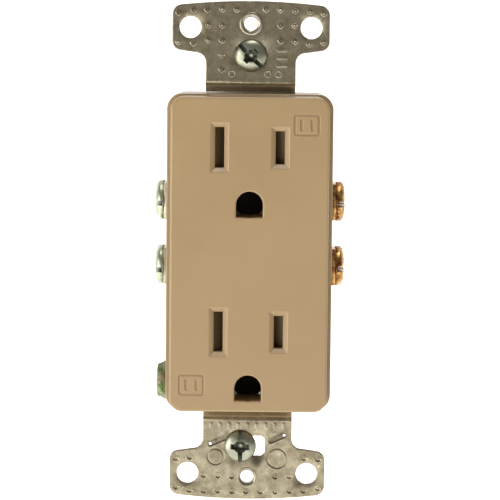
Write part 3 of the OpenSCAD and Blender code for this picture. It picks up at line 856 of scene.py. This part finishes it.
def diamond(centre, radius, count):
    """A closed loop between a circle and a square on its corner."""
    power = 1.25
    points = []
    for i in range(count):
        angle = 2 * math.pi * i / count
        c = math.cos(angle)
        s = math.sin(angle)
        reach = radius / (abs(c) ** power + abs(s) ** power) ** (1 / power)
        points.append((centre[0] + reach * c, centre[1] + reach * s))
    return points


def gouge(centre, strength):
    """A punched mark that is deepest at its outer corner."""
    loops = [(diamond(centre, 0.9, 16), STRAP_FRONT), (diamond(centre, 0.82, 16), STRAP_FRONT)]
    steps = ((0.7, -0.07, -0.04), (0.56, 0.03, 0.0), (0.42, 0.17, 0.02), (0.26, 0.03, -0.02))
    for reach, low, high in steps:
        points = diamond(centre, reach, 16)
        levels = []
        for x, z in points:
            share = min(1.0, max(0.0, 0.5 + 0.9 * (z - centre[1]) / reach))
            levels.append(STRAP_FRONT + strength * (high + (low - high) * share))
        loops.append((points, levels))
    return loops


def dimple(centre, strength):
    """A punched ring with a pip in the middle."""
    steps = ((0.84, 16, 0), (0.76, 16, 0), (0.66, 16, -0.1), (0.56, 16, -0.1), (0.42, 12, 0.13),
             (0.28, 8, 0.12), (0.1, 6, -0.12))
    return [(diamond(centre, reach, count), STRAP_FRONT + depth * strength) for reach, count, depth in steps]


def ridge_ring(centre, radius, half_width, height):
    """A ring that stands proud of the sheet, or is pressed into it where height is below 0."""
    loops = []
    for offset, rise in ((-1.5, 0), (-1, 0), (-0.35, 1), (0.35, 1), (1, 0), (1.5, 0)):
        loops.append((circle(centre, radius + offset * half_width, 36), STRAP_FRONT - rise * height))
    return loops


def stadium(centre, length, half_width, angle=0.0, grow=0.0):
    """A slot shape with round ends; length is between the ends' centres."""
    radius = half_width + grow
    points = arc((length / 2, 0), radius, -90, 90, 6) + arc((-length / 2, 0), radius, 90, 270, 6)
    c = math.cos(math.radians(angle))
    s = math.sin(math.radians(angle))
    return [(centre[0] + x * c - z * s, centre[1] + x * s + z * c) for x, z in points]


def rib(centre, length, half_width, angle, height):
    """A short raised bar with round ends."""
    loops = []
    for grow, rise in ((0.16, 0), (0.08, 0), (-0.06, 1), (-half_width * 0.7, 1)):
        loops.append((stadium(centre, length, half_width, angle, grow), STRAP_FRONT - rise * height))
    return loops


def slot_loop(half_w, grow):
    """A mounting screw's slot, with its corners cut off."""
    half_w = half_w + grow
    half_h = SLOT_HALF_H + grow
    cut = SLOT_CUT + 0.4 * grow
    points = [(half_w, -half_h + cut), (half_w, half_h - cut)]
    points += [(half_w - cut, half_h), (-half_w + cut, half_h)]
    points += [(-x, -z) for x, z in points]
    return [(x, SLOT_MID + z) for x, z in points]


def clear_of(centre, obstacles):
    return all(math.dist(centre, (x, z)) > reach for x, z, reach in obstacles)


def round_hole(centre, radius, count=40):
    return lambda grow: circle(centre, radius + grow, count)


def collar_loops(raised, lip_r):
    """Front relief, back relief and wall of the wall plate's screw hole."""
    lip = STRAP_FRONT - raised
    front_steps = ((lip_r - 0.1, lip), (lip_r, STRAP_FRONT - raised * 0.75), (lip_r + 0.05, STRAP_FRONT),
                   (lip_r + 0.2, STRAP_FRONT))
    back_steps = ((2.3, 1.2), (2.42, 1.08), (2.45, 0.04), (2.5, 0.0), (2.65, 0.0))
    front = [(circle(COVER_HOLE, radius, 40), y) for radius, y in front_steps]
    back = [(circle(COVER_HOLE, radius, 40), y) for radius, y in back_steps]
    wall = [(0.5, lip), (0.4, lip + 0.03), (0.08, lip + 0.14), (0, lip + 0.3), (0, 1.05), (0.12, 1.2)]
    return front, back, wall


def marks_in_rows(rows, shift, obstacles, seed, make_mark, power, skip=()):
    """Punched marks in curved rows that follow the strap's end, clear of its edge, its ears' holes and
    the obstacles."""
    obstacles = obstacles + [(side * EAR_HOLE_X, EAR_HOLE_Z, EAR_HOLE_R + 1.05) for side in (-1, 1)]
    chance = random.Random(seed)
    limit = offset_loop(ear_outline(), -1.0)
    loops = []
    for row, z in enumerate(rows):
        for column in range(-5, 6):
            x = column * MARK_PITCH + shift
            lower = 0.5 * x * x / (2 * CROWN_R)
            if (abs(column) == 4 and z < EAR_HOLE_Z) or (abs(column) == 5 and z > EAR_HOLE_Z):
                lower += 0.4
            x = max(-MARK_LIMIT_X, min(MARK_LIMIT_X, x + chance.uniform(-0.08, 0.08)))
            centre = (x, z - lower + chance.uniform(-0.08, 0.08))
            strength = power * chance.uniform(0.75, 1.15)
            if (row, column) in skip or not clear_of(centre, obstacles):
                continue
            if inside([centre], limit)[0]:
                loops += make_mark(centre, strength)
    return loops


def round_bends(strap):
    """Gives the two bends in the sheet their outer radius."""
    with editing(strap.data) as work:
        bends = []
        for edge in work.edges:
            ends = [v.co / MM for v in edge.verts]
            if all(abs(p.y - STRAP_FRONT) < 0.02 and abs(abs(p.z) - BEND_Z) < 0.02 for p in ends):
                bends.append(edge)
        bmesh.ops.bevel(work, geom=bends, offset=BEND_OUTER_R * MM, segments=6, profile=0.5, affect="EDGES")


def window_loops(side):
    """The slanted window beside the lower slot, dished towards its outer end, and its pin hole."""
    middle = (side * WINDOW_X, WINDOW_Z - side * 0.35)
    loops = []
    for grow, depth in ((0.36, 0), (0.28, 0), (0.18, -0.13), (0.1, -0.13), (0.0, 0.08), (-0.05, 0.5)):
        points = stadium(middle, WINDOW_LENGTH, WINDOW_HALF_W, WINDOW_ANGLE, grow)
        level = STRAP_FRONT + depth
        if depth < 0:
            outer = [min(1.0, max(0.0, (side * (x - middle[0]) - 0.2) / 0.9)) for x, z in points]
            level = [STRAP_FRONT - 0.03 + (depth + 0.03) * share for share in outer]
        loops.append((points, level))
    tip = stadium(middle, WINDOW_LENGTH, 0.0, WINDOW_ANGLE)[0 if side > 0 else 7]
    wall = [(0.02, STRAP_FRONT + 0.5), (0, STRAP_FRONT + 0.55), (0, -EDGE), (EDGE, 0)]
    return loops, (round_hole(tip, 0.3, 16), wall)


def end_holes(cover_wall, slot_half_w):
    """The ears' holes, the wall plate's screw hole and the mounting screw's slot, with their walls."""
    holes = [(round_hole((side * EAR_HOLE_X, EAR_HOLE_Z), EAR_HOLE_R), BROKEN_EDGE) for side in (-1, 1)]
    holes.append((round_hole(COVER_HOLE, COVER_HOLE_R), cover_wall))
    holes.append((lambda grow: slot_loop(slot_half_w, grow), BROKEN_EDGE))
    return holes


def make_upper_end():
    front, back, wall = collar_loops(0.3, 2.45)
    holes = end_holes(wall, UPPER_SLOT_HALF_W)
    obstacles = [(*COVER_HOLE, 3.5)] + [(x, SLOT_MID, 4.35) for x in (-1.3, 0, 1.3)]
    skipped = {(3, 2), (3, 3), (4, -1), (4, 0), (4, 1), (4, 2), (4, 3)}
    rows = (51.45, 48.2, 45.0, 41.8, 38.8)
    relief = front + marks_in_rows(rows, 0.1, obstacles, 5, dimple, 0.8, skipped)
    for z in (42.9, 41.3, 39.7):
        relief += rib((6.6, z), 1.7, 0.36, 0, 0.035)
    for x in (-3.9, 3.7, 5.9):
        relief += ridge_ring((x, 37.9), 0.62, 0.16, 0.035)
    return sheet_end("strap_upper_end", 1, ear_outline(), holes, relief, back)


def make_lower_end():
    front, back, wall = collar_loops(0.1, 2.05)
    holes = end_holes(wall, LOWER_SLOT_HALF_W)
    obstacles = [(*COVER_HOLE, 3.16), (-6.75, 44.0, 3.0), (6.4, 44.3, 3.4)]
    obstacles += [(x, SLOT_MID, 4.4) for x in (-1.9, -0.6, 0.7, 1.9)]
    relief = front + marks_in_rows((44.95, 48.35, 51.6), -0.1, obstacles, 9, gouge, 1.2)
    relief += ridge_ring((-6.75, 44.0), 1.7, 0.22, -0.12)
    relief += ridge_ring((6.4, 44.3), 2.1, 0.22, -0.12)
    for i in range(-4, 5):
        relief += rib((i * 1.95, 37.32), 0.7, 0.34, 90, 0.11)
    for side in (-1, 1):
        loops, pin_hole = window_loops(side)
        relief += loops
        holes.append(pin_hole)
    return sheet_end("strap_lower_end", -1, ear_outline(), holes, relief, back)


def make_strap_middle():
    middle = copy_of("mounting_strap", "strap_middle")
    round_bends(middle)
    soften(middle, EDGE, 2, 30, False)
    apply_modifiers(middle)
    around = ((-40, -10), (40, -10), (40, 40), (-40, 40))
    boolean(middle, prism("strap_cut", around, -SEAM, SEAM), "INTERSECT")
    return middle


def stamped(x, y, z):
    """Depth below the sheet's front face, only near that face: painted shade in punched marks, painted light
    on raised ones.
    """
    return max(-0.4, min(0.3, (y - STRAP_FRONT) / 0.6)) if y < -0.6 else 0.0


def painted_light_on_bends(x, y, z):
    """Painted light where the sheet goes back into the housing, a band that lies in shade."""
    return 0.0 if abs(z) < 28 or y < -0.9 else -0.9


def make_strap():
    parts = ((make_upper_end(), stamped), (make_lower_end(), stamped), (make_strap_middle(), painted_light_on_bends))
    for piece, depth_of in parts:
        mark_depth(piece, depth_of)
        mark_sharp(piece, 50)
        finish_piece(piece, "mounting_strap")


# ---- screws ----

# How a screw made upright is turned: its head then faces left, right, front or back.
LEFT = Matrix(((0, 0, -1), (0, 1, 0), (1, 0, 0)))
RIGHT = Matrix(((0, 0, 1), (1, 0, 0), (0, 1, 0)))
FRONT = Matrix(((1, 0, 0), (0, 0, -1), (0, 1, 0)))
BACK = Matrix(((0, 1, 0), (0, 0, 1), (1, 0, 0)))
TERMINAL_HEAD = ((4.2, 0), (4.3, 0.15), (4.3, 0.85), (4.22, 1.15), (4.0, 1.42), (3.6, 1.66), (2.9, 1.84),
                 (1.9, 1.95), (0.9, 1.99))
MOUNTING_HEAD = ((3.3, 0), (3.4, 0.1), (3.4, 0.32), (3.3, 0.56), (3.08, 0.8), (2.75, 1.03), (2.3, 1.25),
                 (1.75, 1.43), (1.1, 1.55), (0.5, 1.59))
HOUSING_HEAD = ((2.3, 0), (2.38, 0.12), (2.38, 0.34), (2.3, 0.68), (2.12, 0.98), (1.8, 1.26), (1.35, 1.48),
                (0.8, 1.62), (0.4, 1.67))
GROUND_FLANGE = ((4.05, 0), (4.2, 0.12), (4.2, 0.42), (4.0, 0.58), (3.3, 0.66))
GROUND_HEXAGON = ((3.93, 0.4), (3.93, 1.35), (3.5, 1.72), (3.1, 1.88), (2.4, 1.97), (1.2, 2.0))
TERMINAL_SLOT = (0.6, 0.5)
MOUNTING_SLOT = (0.48, 0.42)
TERMINAL_ROWS = (("upper", 10.35, 6, 7), ("lower", -3.65, 12, 5))
NEUTRAL_SEAT_X = -18.3
HOT_SEAT_X = 18.6
TERMINAL_SEAT_Y = 8.5
GROUND_SEAT = (-17.8, 8.5, -29.0)
UPPER_MOUNTING_SEAT = (0, -1.25, 41.65)
LOWER_MOUNTING_SEAT = (-1.5, -1.25, -41.65)
HOUSING_SEAT_Y = 15.0
HOUSING_PLACES = ((-7.2, -31.3), (-7.2, 31.3), (7.2, -31.3), (7.2, 31.3))
THREAD_PITCH = 0.794
NO_8_THREAD = (2.05, 1.68)
NO_6_THREAD = (1.75, 1.38)
HOUSING_THREAD = (1.45, 1.08)


def revolve(name, profile, count=72):
    """A closed solid turned round Z, from (radius, z) pairs that run from its bottom to its top."""
    vertices = []
    for radius, z in profile:
        vertices += [(x, y, z) for x, y in circle((0, 0), radius, count)]
    return mesh_from(name, vertices, tube_faces(len(profile), count))


def bar_cut(name, top, floor, half_width, angle):
    """A cutter for a slot or a wing.

    Its length is 2 * top at the rim, and 2 * floor[0] at its floor, the level floor[1].
    """
    rim = 2.2
    c = math.cos(math.radians(angle))
    s = math.sin(math.radians(angle))
    vertices = []
    for half_length, half_w, z in ((floor[0], half_width * 0.9, floor[1]), (top, half_width, rim)):
        for u, v in ((-1, -1), (1, -1), (1, 1), (-1, 1)):
            x = u * half_length
            y = v * half_w
            vertices.append((x * c - y * s, x * s + y * c, z))
    return mesh_from(name, vertices, tube_faces(2, 4))


def thread(name, radii, low, high, pitch=THREAD_PITCH, count=40):
    """A helical thread between two levels, closed at both ends, that fades out towards each."""
    outer, root = radii
    steps = ((0.0, 0), (0.16, 0), (0.42, 1), (0.58, 1), (0.84, 0))
    turns = math.ceil((high - low) / pitch) + 2
    vertices = []
    for turn in range(turns):
        for phase, crest in steps:
            for i in range(count):
                z = low + (turn - 1 + phase + i / count) * pitch
                start = max(0.0, (z - low) / (0.9 * pitch))
                fade = min(1.0, start, max(0.0, (high - z) / (0.4 * pitch)))
                z = min(high, max(low, z))
                radius = root + (outer - root) * crest * fade
                angle = 2 * math.pi * i / count
                vertices.append((radius * math.cos(angle), radius * math.sin(angle), z))
    rows = turns * len(steps)
    faces = []
    for row in range(rows - 1):
        for i in range(count):
            here = row * count + i
            ahead = here + 1 if i < count - 1 else (row + len(steps)) * count
            above = ahead + count
            if above < len(vertices):
                faces.append((here, ahead, above, here + count))
    for z, order in ((low, -1), (high, 1)):
        vertices += [(x, y, z) for x, y in circle((0, 0), root, count)]
        faces.append(tuple(range(len(vertices) - count, len(vertices)))[::order])
    piece = mesh_from(name, vertices, faces)
    face_outward(piece.data, 1e-8)
    return piece


def make_head(name, profile, cutters, edge, slot=None, highlight_shares=None, film=0.0):
    """A screw's head with painted shade in its hollows.

    slot is (angle, half width, floor) of a slot that runs out through the rim. The radii table after slot
    holds radii and the share of painted shade left at each, which paints highlights where it is small, and
    film is the least darkening anywhere, a thin film of dirt.
    """
    head = revolve(name, profile)
    for cutter in cutters:
        boolean(head, cutter, "DIFFERENCE")
    clean(head.data, 0.2)
    soften(head, edge, 2, 38, False)
    apply_modifiers(head)
    radii = [radius for radius, z in reversed(profile)]
    heights = [z for radius, z in reversed(profile)]

    def hollow(x, y, z):
        radius = math.hypot(x, y)
        if z < profile[1][1]:
            return 0.0
        deep = (np.interp(radius, radii, heights) - z - 0.04) / 0.3
        # Painted shade: the slot, where it runs out through the rim, is fully darkened.
        if slot and radius > 0.85 * radii[-1] and z < slot[2] + 0.12:
            angle = math.radians(slot[0])
            if abs(y * math.cos(angle) - x * math.sin(angle)) < slot[1] + 0.03:
                deep = 1.0
        # Painted highlights: radii with a small share keep little of the painted shade.
        share = np.interp(radius, *highlight_shares) if highlight_shares else 1.0
        return film + (0.85 - film) * min(1.0, max(0.0, deep)) * share

    mark_depth(head, hollow)
    return head


def seated(name, pieces, turn, seat):
    """Joins pieces that were made upright, turns them and puts them in place."""
    screw = join(name, pieces)
    matrix = turn.to_4x4()
    matrix.translation = Vector(seat) * MM
    screw.data.transform(matrix)
    return screw


def finish_screw(screw, node):
    mark_sharp(screw, 42)
    finish_piece(screw, node)


def make_terminal_screw(node, turn, seat, tilt):
    angle = 90 - tilt if turn is LEFT else tilt
    half_width, floor = TERMINAL_SLOT
    cutters = [
        bar_cut("slot_cut", 6, (6, floor), half_width, angle),
        bar_cut("cross_cut", 2.3, (1.5, 0.6), 0.55, angle + 90),
        bar_cut("wing_cut", 2.1, (1.5, 0.6), 0.55, angle),
    ]
    head = make_head(f"{node}_head", TERMINAL_HEAD, cutters, 0.07, (angle, *TERMINAL_SLOT))
    shank = thread(f"{node}_thread", NO_8_THREAD, -7.9, 0.05)
    finish_screw(seated(f"{node}_turned", [head, shank], turn, seat), node)


def make_mounting_screw(node, seat, slot_angle, wing):
    half_width, floor = MOUNTING_SLOT
    cutters = [
        bar_cut("slot_cut", 6, (6, floor), half_width, slot_angle),
        revolve("cup_cut", ((0.75, 0.3), (1.75, 2.2)), 40),
        bar_cut("wing_cut", wing, (1.4, 0.25), 0.62, slot_angle + 90),
        bar_cut("wing_cut", 2.2, (1.4, 0.25), 0.5, slot_angle),
        revolve("pip_cut", ((0.3, 0.12), (0.6, 0.32)), 24),
    ]
    # Painted highlights: the centre disc and a ring at about 1.0 to 1.35 mm keep little painted shade.
    highlight_shares = ((0.35, 0.5, 0.85, 1.0, 1.35, 1.6), (0.0, 0.9, 0.8, 0.15, 0.3, 1.0))
    slot = (slot_angle, *MOUNTING_SLOT)
    head = make_head(f"{node}_head", MOUNTING_HEAD, cutters, 0.06, slot, highlight_shares, 0.32)
    neck = revolve(f"{node}_neck", ((1.38, -5.0), (1.45, -4.7), (1.45, 0.1)), 40)
    low = seat[1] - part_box(node)[1][1] / MM
    point = revolve(f"{node}_point", ((0.7, low), (1.32, low + 0.75)), 40)
    shank = thread(f"{node}_thread", NO_6_THREAD, low + 0.5, -4.85)
    finish_screw(seated(f"{node}_turned", [head, neck, shank, point], FRONT, seat), node)


def make_housing_screws():
    """Four screws in one piece, each turned a little further than the one before."""
    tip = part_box("housing_screws")[0][1] / MM - HOUSING_SEAT_Y
    screws = []
    for number, (x, z) in enumerate(HOUSING_PLACES):
        angle = 20 + 37 * number
        cutters = [bar_cut("wing_cut", 1.45, (0.7, 0.35), 0.33, angle + turn) for turn in (0, 90)]
        head = make_head("housing_screw_head", HOUSING_HEAD, cutters, 0.05)
        point = revolve("housing_screw_point", ((0.6, tip), (1.05, tip + 1.3)), 36)
        shank = thread("housing_screw_thread", HOUSING_THREAD, tip + 1.0, 0.05, 1.0, 32)
        screws.append(seated("housing_screw", [head, point, shank], BACK, (x, HOUSING_SEAT_Y, z)))
    finish_screw(join("housing_screws_turned", screws), "housing_screws")


def make_ground_screw():
    flange = revolve("flange", GROUND_FLANGE)
    hexagon = revolve("hexagon", GROUND_HEXAGON)
    sides = prism("hexagon_sides", circle((0, 0), GROUND_HEXAGON[0][0], 6), -1, 3)
    boolean(hexagon, sides, "INTERSECT")
    boolean(hexagon, bar_cut("slot_cut", 6, (6, 1.0), 0.6, 0), "DIFFERENCE")
    clean(hexagon.data, 0.2)
    soften(hexagon, 0.1, 2, 24, False)
    apply_modifiers(hexagon)
    shank = thread("ground_thread", NO_8_THREAD, -5.6, 0.05)
    finish_screw(seated("ground_screw_turned", [flange, hexagon, shank], LEFT, GROUND_SEAT), "ground_screw")


def make_screws():
    for row, z, left_tilt, right_tilt in TERMINAL_ROWS:
        make_terminal_screw(f"{row}_neutral_screw", LEFT, (NEUTRAL_SEAT_X, TERMINAL_SEAT_Y, z), left_tilt)
        make_terminal_screw(f"{row}_hot_screw", RIGHT, (HOT_SEAT_X, TERMINAL_SEAT_Y, z), right_tilt)
    make_mounting_screw("upper_mounting_screw", UPPER_MOUNTING_SEAT, 135, 2.0)
    make_mounting_screw("lower_mounting_screw", LOWER_MOUNTING_SEAT, 90, 2.6)
    make_ground_screw()
    make_housing_screws()


# ---- springs ----

SPRING_R = 0.7
WIRE_R = 0.15
SPRING_TURNS = 8
CLOSED_TURNS = 0.85
CLOSED_PITCH = 2 * WIRE_R * 1.02


def coil(name, start, end, centre):
    """A compression spring along X with closed, flattened end turns."""
    count = 26
    sides = 10
    total = SPRING_TURNS * count
    open_turns = SPRING_TURNS - 2 * CLOSED_TURNS
    span = end - start - 2 * WIRE_R - CLOSED_PITCH
    vertices = []
    for step in range(total + 1):
        angle = 2 * math.pi * step / count
        turn = step / count
        share = min(1.0, max(0.0, (turn - CLOSED_TURNS) / open_turns))
        closed = min(turn, CLOSED_TURNS) + max(0.0, turn - SPRING_TURNS + CLOSED_TURNS)
        x = start + WIRE_R + CLOSED_PITCH / 2 * closed / CLOSED_TURNS + span * share
        for side in range(sides):
            around = 2 * math.pi * side / sides
            reach = SPRING_R + WIRE_R * math.cos(around)
            across = WIRE_R * math.sin(around)
            y = centre[0] + reach * math.cos(angle)
            vertices.append((x + across, y, centre[1] + reach * math.sin(angle)))
    piece = mesh_from(name, vertices, tube_faces(total + 1, sides))
    face_outward(piece.data)
    return piece


def make_springs():
    for row in ("upper", "lower"):
        for kind, side in (("hot", 1), ("neutral", -1)):
            node = f"{row}_{kind}_shutter_spring"
            low, high = [[c / MM for c in corner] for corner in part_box(node)]
            middle = ((low[1] + high[1]) / 2, (low[2] + high[2]) / 2)
            spring = coil(f"{node}_coil", low[0], high[0], middle)
            mark_sharp(spring, 50)
            finish_piece(spring, node, "housing")
            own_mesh(spring)


# ---- the other pieces ----

EDGES = {"clamp": 0.14, "bus": 0.08, "contact": 0.07, "rivets": 0.1, "frame": 0.12, "shutter": 0.12,
         "washer": 0.06, "clip": 0.07}


def make_others():
    """Copies of the remaining CAD pieces with their edges broken."""
    for node in sorted(NODES):
        width = next((EDGES[word] for word in EDGES if node.endswith(word)), None)
        if width is None:
            continue
        piece = copy_of(node, f"{node}_softened")
        soften(piece, width, 2, 32, False)
        apply_modifiers(piece)
        mark_sharp(piece, 40)
        finish_piece(piece, node)


make_cover()
make_body()
make_strap()
make_screws()
make_springs()
make_others()

make_camera()
make_light()
make_floor()
